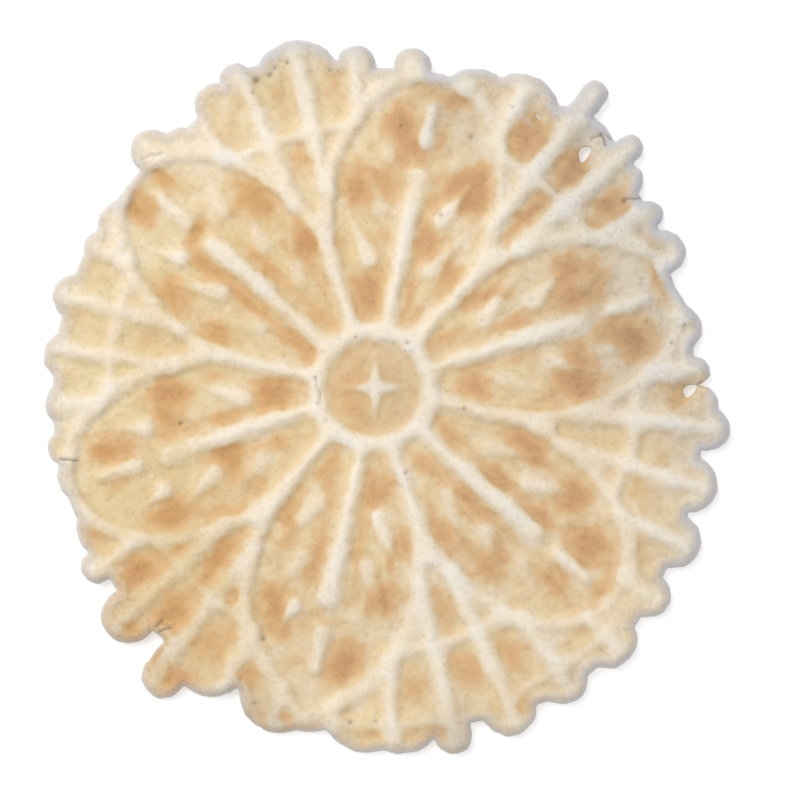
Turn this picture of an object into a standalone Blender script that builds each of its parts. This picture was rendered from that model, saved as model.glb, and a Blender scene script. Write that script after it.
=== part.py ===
"""Pizzelle wafer cookie, one crisp piece moulded between two patterned plates.

A thin sheet carries the same ribs on both faces: a ring round a four-pointed
star, six petals with a spine, a dash and drop-shaped veins, and a lattice of
spokes and hoops between the petals.  The batter ran out past the lattice in
uneven lobes, and three pinholes go through.

Metres, +Z up.  The origin is on the ground, under the middle of the wafer's
box.  The star's arms lie along X and Y.
"""

import math

import bmesh
import bpy
from mathutils import Matrix, Vector

MM = 0.001

# Thickness
SHEET = 1.8 * MM            # between the ribs
OVERALL = 4.2 * MM          # from rib to rib
RIB_ROOT = 0.2 * MM         # how far a rib's slope starts inside the sheet

# Where the pattern's centre lies from the middle of the box
CENTRE_X = -2.41 * MM
CENTRE_Y = 1.74 * MM

# Ring and star
RING_RADIUS = 10.5 * MM
RING_CREST = 1.5 * MM
RING_STEPS = 30
STAR_REACH = 5.6 * MM
STAR_WAIST = 1.0 * MM
STAR_TIP = 0.25 * MM
STAR_CREST_HALF = 1.35 * MM

# Petals
PETALS = 6
FIRST_PETAL = 78.1          # degrees, counterclockwise from +X
PETAL_HALF_WIDTH = 15.5 * MM
PETAL_HALF_LENGTH = 22.4 * MM
PETAL_MIDDLE = 35.5 * MM    # from the pattern's centre
PETAL_START = -25.0         # degrees round the petal's ellipse
WALL_END = 32.0 * MM
PETAL_STEPS = 14
RIB_CREST = 1.6 * MM        # flat width along the top of a rib

SPINE_START = 10.5 * MM
SPINE_END = 38.8 * MM
SPINE_CREST = (1.2 * MM, 2.6 * MM)
DASH_START = 45.2 * MM
DASH_END = 52.4 * MM
DASH_CREST = 0.9 * MM

# Drops on one side of a spine: (across, along) of the head and of the tail
DROPS = (
    ((5.6 * MM, 22.7 * MM), (10.8 * MM, 30.3 * MM)),
    ((5.6 * MM, 32.1 * MM), (9.6 * MM, 39.1 * MM)),
    ((5.9 * MM, 41.5 * MM), (7.6 * MM, 45.5 * MM)),
)
DROP_HEAD = 0.75 * MM       # radius of the flat top at the head
DROP_TAIL = 0.1 * MM

# Lattice
SPOKES = 36
HOOP_RADII = (48.6 * MM, 60.9 * MM)
HOOP_HALF_SPAN = 12.5       # degrees either side of the line between two petals
LIP = 2.6 * MM              # from the flat top of a spoke out to the bare edge

# Edge of the batter
SPREAD = 59.0 * MM
SPREAD_DRIFT = 1.5 * MM
SPREAD_DRIFT_ANGLE = 309.0
# Broad swells: (angle, how far out, half width in degrees)
SWELLS = (
    (4.0, -1.7 * MM, 6.0), (20.0, -2.0 * MM, 6.0), (50.0, 4.5 * MM, 9.0),
    (111.0, 4.5 * MM, 9.0), (305.0, 4.5 * MM, 26.0),
)
# Lobes, most at the end of a spoke: (angle, reach, radius)
LOBES = (
    (3, 61.0 * MM, 2.5 * MM), (11, 60.5 * MM, 4.5 * MM), (25, 62.0 * MM, 4.0 * MM),
    (32, 61.5 * MM, 2.5 * MM), (39.5, 62.3 * MM, 3.5 * MM), (43, 66.0 * MM, 2.5 * MM),
    (53, 69.0 * MM, 2.5 * MM), (62, 63.5 * MM, 7.5 * MM), (70, 61.0 * MM, 7.5 * MM),
    (83, 62.0 * MM, 3.5 * MM), (93, 62.0 * MM, 3.5 * MM), (104, 64.5 * MM, 8.5 * MM),
    (114, 64.0 * MM, 3.0 * MM), (119, 62.5 * MM, 4.0 * MM), (128.5, 59.2 * MM, 3.5 * MM),
    (133, 62.5 * MM, 4.0 * MM), (147, 58.5 * MM, 4.5 * MM), (153, 58.5 * MM, 3.0 * MM),
    (163, 60.5 * MM, 4.0 * MM), (174, 60.0 * MM, 4.5 * MM), (183, 59.5 * MM, 4.0 * MM),
    (191, 60.0 * MM, 3.0 * MM), (197, 59.5 * MM, 5.5 * MM), (208, 60.0 * MM, 6.0 * MM),
    (213, 62.5 * MM, 3.0 * MM), (223, 65.5 * MM, 5.0 * MM), (234, 68.5 * MM, 4.0 * MM),
    (239, 64.0 * MM, 7.5 * MM), (253, 65.0 * MM, 7.5 * MM), (258, 63.5 * MM, 8.5 * MM),
    (269, 66.0 * MM, 9.0 * MM), (275, 66.5 * MM, 8.0 * MM), (283, 68.0 * MM, 3.5 * MM),
    (293, 68.0 * MM, 5.0 * MM), (303, 67.5 * MM, 4.5 * MM), (313, 67.5 * MM, 5.5 * MM),
    (323, 66.5 * MM, 4.0 * MM), (333, 66.0 * MM, 5.0 * MM), (343, 65.0 * MM, 5.0 * MM),
    (353, 65.0 * MM, 4.0 * MM), (357, 62.5 * MM, 3.5 * MM),
)
EDGE_STEPS = 180

# Pinholes: (x, y) from the pattern's centre, half length, half width, turn
PINHOLES = (
    ((38.2 * MM, 42.3 * MM), 1.6 * MM, 1.0 * MM, 60.0),
    ((29.9 * MM, 49.0 * MM), 0.6 * MM, 0.35 * MM, -50.0),
    ((57.9 * MM, -0.6 * MM), 2.0 * MM, 0.7 * MM, 42.0),
)

WAFER_COLOUR = (0.80, 0.62, 0.38, 1.0)
WAFER_ROUGHNESS = 0.75


def on_circle(radius, degrees):
    angle = math.radians(degrees)
    return Vector((radius * math.cos(angle), radius * math.sin(angle)))


def in_petal(across, along, turn):
    """A point given across and along a petal whose spine points to `turn` degrees."""
    return Matrix.Rotation(math.radians(turn - 90.0), 2) @ Vector((across, along))


def band(path, half_widths, round_start=0, round_end=0):
    """Closed outline of a strip that follows `path`, with arcs of points at its ends."""
    left, right = [], []
    for index, point in enumerate(path):
        before = path[max(index - 1, 0)]
        after = path[min(index + 1, len(path) - 1)]
        along = (after - before).normalized()
        across = Vector((-along.y, along.x)) * half_widths[index]
        left.append(point + across)
        right.append(point - across)
    end_cap = cap_points(path[-1], left[-1] - path[-1], round_end)
    start_cap = cap_points(path[0], right[0] - path[0], round_start)
    return right + end_cap[::-1] + left[::-1] + start_cap[::-1]


def cap_points(centre, first_arm, count):
    """Points of the half circle from `first_arm` clockwise to its opposite."""
    step = -math.pi / (count + 1)
    return [centre + Matrix.Rotation(step * (i + 1), 2) @ first_arm for i in range(count)]


def slab(name, outlines, half_height, slope, collection):
    """Flat shape of closed outlines, with sides that flare out below each face by `slope`."""
    curve = bpy.data.curves.new(name, "CURVE")
    curve.dimensions = "2D"
    curve.fill_mode = "BOTH"
    curve.extrude = half_height - slope
    curve.bevel_depth = slope
    curve.bevel_resolution = 0
    for outline in outlines:
        spline = curve.splines.new("POLY")
        spline.points.add(len(outline) - 1)
        for spline_point, point in zip(spline.points, outline):
            spline_point.co = (point.x, point.y, 0.0, 1.0)
        spline.use_cyclic_u = True
    drawn = bpy.data.objects.new(name + "_curve", curve)
    bpy.context.scene.collection.objects.link(drawn)
    bpy.context.view_layer.update()
    graph = bpy.context.evaluated_depsgraph_get()
    mesh = bpy.data.meshes.new_from_object(drawn.evaluated_get(graph))
    bpy.data.objects.remove(drawn)
    weld(mesh)
    solid = bpy.data.objects.new(name, mesh)
    solid.location = (CENTRE_X, CENTRE_Y, OVERALL / 2)
    collection.objects.link(solid)
    return solid


def weld(mesh):
    """Join a curve's loose caps to its sides."""
    work = bmesh.new()
    work.from_mesh(mesh)
    bmesh.ops.remove_doubles(work, verts=work.verts, dist=0.001 * MM)
    bmesh.ops.recalc_face_normals(work, faces=work.faces)
    work.to_mesh(mesh)
    work.free()


def rib(name, outlines, collection):
    """A rib that stands out of both faces of the sheet."""
    slope = (OVERALL - SHEET) / 2 + RIB_ROOT
    return slab(name, outlines, OVERALL / 2, slope, collection)


def petal_edge(off_axis):
    """Distance from the pattern's centre to a petal's outline, `off_axis` degrees from its spine."""
    across = math.sin(math.radians(off_axis)) / PETAL_HALF_WIDTH
    along = math.cos(math.radians(off_axis)) / PETAL_HALF_LENGTH
    middle = PETAL_MIDDLE / PETAL_HALF_LENGTH
    a = across ** 2 + along ** 2
    b = along * middle
    return (b + math.sqrt(max(b * b - a * (middle ** 2 - 1.0), 0.0))) / a


def off_axis(degrees):
    """Degrees between a direction and the nearest petal's spine."""
    pitch = 360.0 / PETALS
    return abs((degrees - FIRST_PETAL + pitch / 2) % pitch - pitch / 2)


def edge_radius(degrees):
    """How far the batter ran out in one direction."""
    reach = SPREAD + SPREAD_DRIFT * math.cos(math.radians(degrees - SPREAD_DRIFT_ANGLE))
    for angle, height, width in SWELLS:
        turn = (degrees - angle + 180.0) % 360.0 - 180.0
        reach += height * math.exp(-((turn / width) ** 2))
    for angle, tip, radius in LOBES:
        turn = math.radians((degrees - angle + 180.0) % 360.0 - 180.0)
        middle = tip - radius
        inside = radius ** 2 - (middle * math.sin(turn)) ** 2
        if abs(turn) < math.pi / 4 and inside > 0.0:
            reach = max(reach, middle * math.cos(turn) + math.sqrt(inside))
    return reach


def edge_outline():
    angles = [360.0 * step / EDGE_STEPS for step in range(EDGE_STEPS)]
    return [on_circle(edge_radius(angle), angle) for angle in angles]


def make_ring(ribs):
    outlines = []
    for radius in (RING_RADIUS + RING_CREST / 2, RING_RADIUS - RING_CREST / 2):
        outlines.append([on_circle(radius, 360.0 * step / RING_STEPS) for step in range(RING_STEPS)])
    rib("ring", outlines, ribs)


def make_star(ribs):
    outline = []
    for quarter in range(4):
        turn = 90.0 * quarter
        tip = on_circle(STAR_REACH, turn)
        aside = on_circle(STAR_TIP, turn + 90.0)
        outline += [tip - aside, tip + aside, on_circle(STAR_WAIST, turn + 45.0)]
    slope = STAR_CREST_HALF - SHEET / 2 + RIB_ROOT
    slab("star", [outline], STAR_CREST_HALF, slope, ribs)


def make_petal(turn, ribs):
    """Outline, wall, spine, dash and drops of the petal that points to `turn` degrees."""
    sweep = 180.0 - 2 * PETAL_START
    path = []
    for step in range(PETAL_STEPS + 1):
        angle = math.radians(PETAL_START + sweep * step / PETAL_STEPS)
        across = PETAL_HALF_WIDTH * math.cos(angle)
        along = PETAL_MIDDLE + PETAL_HALF_LENGTH * math.sin(angle)
        path.append(in_petal(across, along, turn))
    rib("petal_outline", [band(path, [RIB_CREST / 2] * len(path))], ribs)

    wall_turn = turn + 180.0 / PETALS
    wall = [on_circle(RING_RADIUS, wall_turn), on_circle(WALL_END, wall_turn)]
    rib("wall", [band(wall, [RIB_CREST / 2] * 2)], ribs)

    spine = [on_circle(SPINE_START, turn), on_circle(SPINE_END, turn)]
    rib("spine", [band(spine, [width / 2 for width in SPINE_CREST], 0, 3)], ribs)

    dash = [on_circle(DASH_START, turn), on_circle(DASH_END, turn)]
    rib("dash", [band(dash, [DASH_CREST / 2] * 2, 1, 1)], ribs)

    for side in (-1, 1):
        for head, tail in DROPS:
            drop = [in_petal(side * x, y, turn) for x, y in (tail, head)]
            rib("drop", [band(drop, [DROP_TAIL, DROP_HEAD], 0, 3)], ribs)


def make_lattice(ribs):
    """Spokes from the petals to the edge, and the two hoops that cross them."""
    half_width = RIB_CREST / 2
    pitch = 360.0 / SPOKES
    inner, outer = HOOP_RADII
    for number in range(SPOKES):
        turn = FIRST_PETAL + pitch * (number + 0.5)
        start = petal_edge(off_axis(turn))
        end = edge_radius(turn) - LIP
        spoke = [on_circle(start, turn), on_circle(end, turn)]
        rib("spoke", [band(spoke, [half_width] * 2, 0, 2)], ribs)
        gap = [turn + pitch * share for share in (0.0, 0.5, 1.0)]
        if all(edge_radius(angle) - LIP > outer for angle in gap):
            hoop = [on_circle(outer, angle) for angle in gap]
            rib("outer_hoop", [band(hoop, [half_width] * 3)], ribs)

    for number in range(PETALS):
        middle = FIRST_PETAL + 360.0 / PETALS * (number + 0.5)
        hoop = [on_circle(inner, middle + HOOP_HALF_SPAN * side) for side in (-1.0, -0.5, 0.0, 0.5, 1.0)]
        rib("inner_hoop", [band(hoop, [half_width] * len(hoop))], ribs)


def make_pinholes(cutters):
    for number, ((x, y), half_length, half_width, turn) in enumerate(PINHOLES):
        work = bmesh.new()
        stretch = Matrix.Diagonal((half_length, half_width, OVERALL * 2, 1.0))
        bmesh.ops.create_cone(
            work, cap_ends=True, segments=8, radius1=1.0, radius2=1.0, depth=1.0,
            matrix=Matrix.Rotation(math.radians(turn), 4, "Z") @ stretch,
        )
        mesh = bpy.data.meshes.new(f"pinhole_{number}")
        work.to_mesh(mesh)
        work.free()
        cutter = bpy.data.objects.new(f"pinhole_{number}", mesh)
        cutter.location = (CENTRE_X + x, CENTRE_Y + y, OVERALL / 2)
        cutters.objects.link(cutter)


def add_boolean(target, name, operation, collection):
    modifier = target.modifiers.new(name, "BOOLEAN")
    modifier.operation = operation
    modifier.solver = "EXACT"
    modifier.operand_type = "COLLECTION"
    modifier.collection = collection


def make_material():
    material = bpy.data.materials.new("baked_wafer")
    material.use_nodes = True
    shader = material.node_tree.nodes["Principled BSDF"]
    shader.inputs["Base Color"].default_value = WAFER_COLOUR
    shader.inputs["Roughness"].default_value = WAFER_ROUGHNESS
    shader.inputs["Metallic"].default_value = 0.0
    return material


def make_wafer(ribs, cutters, part):
    """The sheet of batter, joined to all the ribs and pierced by the pinholes."""
    make_ring(ribs)
    make_star(ribs)
    for number in range(PETALS):
        make_petal(FIRST_PETAL + 360.0 / PETALS * number, ribs)
    make_lattice(ribs)
    make_pinholes(cutters)

    wafer = slab("wafer", [edge_outline()], SHEET / 2, 0.0, part)
    add_boolean(wafer, "ribs", "UNION", ribs)
    add_boolean(wafer, "pinholes", "DIFFERENCE", cutters)
    merge_flats = wafer.modifiers.new("merge_flats", "DECIMATE")
    merge_flats.decimate_type = "DISSOLVE"
    merge_flats.angle_limit = math.radians(0.5)
    return wafer


def hide_helpers(collection):
    for helper in collection.objects:
        helper.hide_render = True
        helper.display_type = "WIRE"


def add_collection(name):
    collection = bpy.data.collections.new(name)
    bpy.context.scene.collection.children.link(collection)
    return collection


def main():
    for leftover in list(bpy.data.objects):
        bpy.data.objects.remove(leftover)
    part = add_collection("pizzelle_wafer_cookie")
    ribs = add_collection("ribs")
    cutters = add_collection("cutters")
    wafer = make_wafer(ribs, cutters, part)
    wafer.data.materials.append(make_material())
    hide_helpers(ribs)
    hide_helpers(cutters)


main()
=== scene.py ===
"""Pizzelle wafer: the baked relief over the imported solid, its toasted finish, and the stage."""

import math

import bpy
import numpy as np
from mathutils import Color, Matrix, Vector, geometry, kdtree, noise


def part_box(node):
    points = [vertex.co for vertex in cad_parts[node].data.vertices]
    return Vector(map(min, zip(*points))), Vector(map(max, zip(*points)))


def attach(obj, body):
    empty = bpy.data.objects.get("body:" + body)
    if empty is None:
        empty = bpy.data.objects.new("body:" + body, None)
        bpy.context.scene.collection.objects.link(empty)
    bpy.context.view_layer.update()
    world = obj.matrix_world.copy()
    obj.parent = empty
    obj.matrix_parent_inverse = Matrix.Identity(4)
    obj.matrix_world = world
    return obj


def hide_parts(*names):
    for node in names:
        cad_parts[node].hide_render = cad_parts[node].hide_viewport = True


bl_info = {
    "name": "Pizzelle wafer",
    "version": (1, 0, 0),
    "blender": (4, 5, 0),
    "location": "3D View > Sidebar > Pizzelle",
    "description": "Bakes a crisp moulded pizzelle wafer and sets its stage",
    "category": "Object",
}

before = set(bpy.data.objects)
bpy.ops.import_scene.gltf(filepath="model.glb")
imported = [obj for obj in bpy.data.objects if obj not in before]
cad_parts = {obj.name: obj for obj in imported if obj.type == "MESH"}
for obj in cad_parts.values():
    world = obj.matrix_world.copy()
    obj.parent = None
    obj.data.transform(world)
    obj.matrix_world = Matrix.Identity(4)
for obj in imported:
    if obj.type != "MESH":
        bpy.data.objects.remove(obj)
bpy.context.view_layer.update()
LOW, HIGH = (Vector(corner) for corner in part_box("wafer"))

MM = 0.001
OVERALL = HIGH.z - LOW.z
MIDDLE = (LOW + HIGH) / 2

# The moulded pattern, as the solid has it; directions are degrees counterclockwise from +X
CENTRE = Vector((-2.41 * MM, 1.74 * MM))
SHEET = 1.8 * MM
RING_RADIUS = 10.5 * MM
STAR_REACH = 5.9 * MM
PETALS = 6
PETAL_PITCH = 360.0 / PETALS
FIRST_PETAL = 78.1
PETAL_HALF_WIDTH = 15.5 * MM
PETAL_HALF_LENGTH = 22.4 * MM
PETAL_MIDDLE = 35.5 * MM
WALL_END = 32.0 * MM
SPINE = (10.5 * MM, 38.8 * MM)
DASH = (45.2 * MM, 52.4 * MM)
# Drops on one side of a spine: (across, along) of the head and of the tail
DROPS = (
    ((5.6 * MM, 22.7 * MM), (10.8 * MM, 30.3 * MM)),
    ((5.6 * MM, 32.1 * MM), (9.6 * MM, 39.1 * MM)),
    ((5.9 * MM, 41.5 * MM), (7.6 * MM, 45.5 * MM)),
)
SPOKES = 36
SPOKE_PITCH = 360.0 / SPOKES
HOOP_RADII = (48.6 * MM, 60.9 * MM)
HOOP_HALF_SPAN = 12.5       # degrees either side of the line between two petals
LIP = 2.6 * MM              # plain rim outside the ribs

# Half widths of the ribs' flat tops, from the inner end to the outer where there are two
RING_HALF_WIDTH = 1.3 * MM
OUTLINE_HALF_WIDTH = 1.15 * MM
WALL_HALF_WIDTHS = (0.8 * MM, 1.3 * MM)
SPINE_HALF_WIDTHS = (0.7 * MM, 1.6 * MM)
DASH_HALF_WIDTHS = (1.1 * MM, 0.7 * MM)
DROP_HALF_WIDTHS = (1.2 * MM, 0.25 * MM)
STAR_HALF_WIDTHS = (1.2 * MM, 0.1 * MM)
SPOKE_HALF_WIDTH = 1.2 * MM
HOOP_HALF_WIDTHS = (0.8 * MM, 0.9 * MM)

# How fully the batter filled the mould, 1 being level with the ribs' highest tops
RING_FILL, OUTLINE_FILL, WALL_FILL, SPINE_FILL, DASH_FILL = 0.90, 0.64, 0.88, 0.95, 0.82
SPOKE_FILL, INNER_HOOP_FILL, OUTER_HOOP_FILL = 0.86, 0.66, 0.60

# Relief and browning beside the ribs
CRACK_HALF_WIDTH = 0.22 * MM
HOLLOW_DEPTH = 0.32 * MM
BEAD_FROM_EDGE = 1.5 * MM
RIM_BAND = 4 * MM
CURL = (50 * MM, 66 * MM)
DISC_TOAST = 0.36
PORE_SPACING = 1.9 * MM
CRUMB_DEPTH = 0.18 * MM

# Layout of the mesh's points
EDGE_SPACING = 0.42 * MM
EDGE_SOFTENING = 3
HOLE_STEPS = 28
ROW_DEPTHS = (0.14 * MM, 0.42 * MM, 0.8 * MM)
ROW_CROWDING = 0.22 * MM
CRACK_ROW = 0.26 * MM
GRID_REACH = 70 * MM
GRID_FROM_EDGE = 1.15 * MM
GRID_FROM_FINE = 0.26 * MM

# Stage: place, width and colour of the lights
KEY_LIGHT = ((-0.42, 0.42, 0.80), 1.0, (1.0, 0.98, 0.95))
FILL_LIGHT = ((0.6, -0.4, 0.6), 0.7, (0.90, 0.93, 1.0))
SKY_COLOUR = (0.93, 0.95, 1.0, 1.0)
FLOOR_REACH = 3.0
CAMERA_SPOT = (2.45 * MM, -0.48 * MM)
SENSOR_WIDTH = 36.0         # millimetres, as a lens is measured

# Edge of the batter, as the solid has it
SPREAD = 59.0 * MM
SPREAD_DRIFT = 1.5 * MM
SPREAD_DRIFT_ANGLE = 309.0
# Broad swells of the edge: (angle, height, width in degrees)
SWELLS = (
    (4.0, -1.7 * MM, 6.0), (20.0, -2.0 * MM, 6.0), (50.0, 4.5 * MM, 9.0),
    (111.0, 4.5 * MM, 9.0), (305.0, 4.5 * MM, 26.0),
)
# Round lobes of the edge: angle, and reach and radius in millimetres
LOBES = (
    (3, 61, 2.5), (11, 60.5, 4.5), (25, 62, 4), (32, 61.5, 2.5), (39.5, 62.3, 3.5), (43, 66, 2.5),
    (53, 69, 2.5), (62, 63.5, 7.5), (70, 61, 7.5), (83, 62, 3.5), (93, 62, 3.5), (104, 64.5, 8.5),
    (114, 64, 3), (119, 62.5, 4), (128.5, 59.2, 3.5), (133, 62.5, 4), (147, 58.5, 4.5), (153, 58.5, 3),
    (163, 60.5, 4), (174, 60, 4.5), (183, 59.5, 4), (191, 60, 3), (197, 59.5, 5.5), (208, 60, 6),
    (213, 62.5, 3), (223, 65.5, 5), (234, 68.5, 4), (239, 64, 7.5), (253, 65, 7.5), (258, 63.5, 8.5),
    (269, 66, 9), (275, 66.5, 8), (283, 68, 3.5), (293, 68, 5), (303, 67.5, 4.5), (313, 67.5, 5.5),
    (323, 66.5, 4), (333, 66, 5), (343, 65, 5), (353, 65, 4), (357, 62.5, 3.5),
)

# Holes through the wafer: (x, y) from the pattern's centre, half length, half width, turn
PINHOLES = (
    ((38.2 * MM, 42.3 * MM), 1.55 * MM, 0.95 * MM, 60.0),
    ((29.9 * MM, 49.0 * MM), 0.6 * MM, 0.3 * MM, -50.0),
    ((57.2 * MM, -0.5 * MM), 1.4 * MM, 0.9 * MM, 40.0),
)

# Lengths in the tables below are in millimetres, from the pattern's centre

# Small burst bubbles, darkened with painted shade in their dips: x, y, radius, how dark
POCKS = (
    (-21, 55.5, 0.7, 0.9), (-18.6, 56.4, 0.45, 0.8), (-17.7, 57.7, 0.4, 0.7), (-15.5, 58.7, 0.45, 0.7),
    (-7.8, 57.3, 0.4, 0.7), (-21.6, 53.2, 0.4, 0.5), (12.3, 31.2, 0.55, 0.5), (17.7, 45.3, 0.6, 0.6),
    (5.2, 47.2, 0.35, 0.6), (25.2, 50.6, 0.4, 0.5), (26.2, 45.4, 0.35, 0.6), (-34.8, -6.5, 0.45, 1),
    (56.3, 11.3, 0.4, 0.7), (53.9, 8.1, 0.4, 0.6), (49.4, 11.7, 0.4, 0.4), (-4.1, -60.4, 0.6, 0.7),
    (0.5, -60.2, 0.5, 0.5), (-19.7, -45.4, 0.45, 0.6), (-24, -52.7, 0.4, 0.6), (-21.2, -57, 0.35, 0.5),
    (-3.1, 9.1, 0.4, 0.6), (6.2, 8.1, 0.5, 0.6), (16.4, -3.8, 0.35, 0.8), (41.1, 45.6, 0.5, 0.9),
    (45.3, 33.7, 0.45, 0.9), (-10.4, 1.8, 0.45, 0.6), (-9.9, -2.8, 0.45, 0.6), (-8.4, -5.9, 0.35, 0.4),
    (5.9, -15.4, 0.4, 0.5), (28.7, 15.9, 0.6, 0.3), (31.7, 4.7, 0.6, 0.3), (19.7, 12.1, 0.4, 0.25),
)

# Hair cracks, darkened with painted shade: from x and y to x and y, how dark
CRACKS = (
    (41, 45.8, 42.2, 43.7, 1), (39.6, 44.7, 41.1, 45.5, 0.6), (41.5, 46.1, 42.9, 44.9, 0.5),
    (45.4, 33.8, 48.6, 34.5, 0.8), (58.4, 0.4, 60.4, 1, 0.5), (-39.3, -43.2, -38.1, -42.1, 0.9),
    (-38.8, -44.2, -36.7, -43.3, 0.9), (-56.6, -13, -53.3, -13, 0.85), (-10.3, 1.8, -9.5, -2.6, 0.4),
    (-41.5, 41.4, -38, 42.4, 0.4),
)

# Where the batter pulled the pattern out of true: x, y, radius, and the pull in x and y
PULLS = ((-12.2, -58.5, 4.5, -0.5, -2.3), (-19.5, -50.0, 5.0, 1.1, -0.2))

# How fully each drop filled, by petal clockwise from the first: the three on the left, then the
# three on the right, each counted outwards from the ring
DROP_FILL = (
    (0.9, 0.45, 0.35, 0.75, 0.95, 0.3), (0.85, 0.75, 0.5, 0.45, 0.7, 0.55), (0.6, 0.7, 0.4, 0.5, 0.6, 0.4),
    (1, 0.5, 0.3, 0.6, 0.35, 1), (0.5, 0.95, 0.95, 0.95, 0.25, 0.85), (0.6, 0.85, 1, 0.45, 0.5, 0.6),
)

# What share of its fullness each spine loses at its outer end, by petal clockwise from the first
SPINE_FADE = (0.42, 0.36, 0.30, 0.25, 0.45, 0.05)

# Toasted patches of each petal, clockwise from the first: (across, along, half width, half length,
# how brown)
PETAL_TOAST = (
    ((-4.6, 17, 3, 5.2, 0.95), (-5, 26.5, 2, 3.2, 0.35), (4.2, 28, 2.8, 5, 0.85), (8.8, 23, 2.3, 4.6, 0.75),
     (-9.6, 35, 5.2, 4.6, 0.9), (-4.5, 37, 2.5, 3.5, 0.55), (8, 38.2, 5, 3.8, 0.85),
     (10.8, 38.5, 3.2, 5.2, 0.95), (-4.6, 47.5, 3.6, 4.6, 1), (-2.2, 43, 3, 2.2, 0.75),
     (2.8, 47.2, 2, 3.6, 0.5), (-1, 54.8, 4, 1.8, 0.45), (4, 53.8, 3.4, 2, 0.65), (3.6, 17, 1.6, 5, 0.4),
     (-11.5, 24.5, 1.4, 4, 0.35)),
    ((-4.5, 15.5, 1.8, 4.5, 0.45), (-9.4, 24, 1.9, 5.6, 0.85), (-3.4, 28, 2, 4.6, 0.65),
     (-9.5, 41, 3.4, 4.2, 0.8), (-4.6, 40, 3.2, 5.4, 0.9), (-7, 44.5, 2.6, 1.8, 0.6),
     (10.8, 35.2, 3.8, 4.8, 1), (7, 36.8, 3, 3.6, 0.7), (6, 47, 4.6, 4.6, 1), (3.6, 43.2, 2.4, 2.4, 0.4),
     (-2, 55.2, 5.5, 1.9, 0.55), (3.6, 27, 1.7, 4, 0.35), (4.8, 17.5, 3.2, 3.6, 0.85),
     (-13, 30, 1.4, 5, 0.3), (12.5, 26, 1.4, 5, 0.35)),
    ((-3.4, 15.5, 1.8, 5, 0.55), (4.2, 17, 2, 5, 0.6), (-9, 40, 4.4, 4, 0.95),
     (-10.5, 28.5, 2.8, 5.2, 0.95), (-3.4, 28.5, 2, 5.4, 0.8), (3.6, 27.5, 2.2, 5, 0.7),
     (11, 28, 2.8, 5, 0.7), (9, 37, 4.6, 4.2, 0.85), (-3, 38, 1.8, 3.6, 0.75), (-4.5, 48, 3.6, 4.8, 0.9),
     (4.5, 47.5, 3, 4.6, 0.75), (0, 55, 4.5, 1.8, 0.5)),
    ((-4.9, 19, 3, 4.8, 0.85), (4.2, 17.5, 2, 5.5, 0.6), (-5, 49.8, 3.8, 4.8, 1), (9, 41.8, 3.8, 4.8, 0.95),
     (6.5, 46, 3, 2, 0.55), (-9.3, 37, 4.4, 4.2, 0.9), (4, 31.5, 2.4, 7, 0.55), (10, 27, 1.8, 5.6, 0.75),
     (-10.5, 27.5, 2, 4.5, 0.65), (-3.6, 30, 1.6, 6, 0.45), (4, 51.5, 2.4, 4, 0.35), (1, 42.8, 4, 1.6, 0.4)),
    ((4.9, 17.8, 3.2, 4.6, 0.95), (-4.6, 28.6, 3.4, 3.8, 0.95), (-10, 42, 3.4, 5, 0.95),
     (8, 36.4, 4.8, 3.4, 0.85), (10.6, 35, 3, 3.6, 0.9), (4.2, 48.4, 3.2, 5.6, 0.9),
     (-2.2, 49, 2, 4.6, 0.45), (-12.6, 33, 2, 5, 0.5), (3.6, 27.5, 2, 5.4, 0.55), (-4, 20, 1.6, 4.5, 0.5),
     (-10, 26, 2.2, 3.6, 0.45), (10.5, 27, 2, 4.5, 0.4), (-8, 34, 2.4, 2.6, 0.35)),
    ((-3.6, 15.5, 1.9, 5.2, 0.7), (-11.6, 38, 3.4, 4.4, 0.8), (-3.3, 36.8, 2.4, 5.2, 0.8),
     (-3.4, 27, 2, 5.6, 0.8), (-11, 27.5, 2.4, 3.6, 0.75), (11.4, 38.2, 3.6, 5.2, 0.9),
     (7, 40.5, 4, 2.4, 0.5), (11, 26.8, 3.2, 3.4, 1), (3.6, 28.5, 2.2, 5.6, 0.65), (4.2, 16, 1.8, 5, 0.5),
     (-3.6, 52.6, 2.8, 4.4, 0.8), (3.4, 53, 2.2, 3.6, 0.7), (0, 42.6, 4.6, 1.8, 0.65),
     (9, 20.5, 1.6, 3.6, 0.4)),
)

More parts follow.
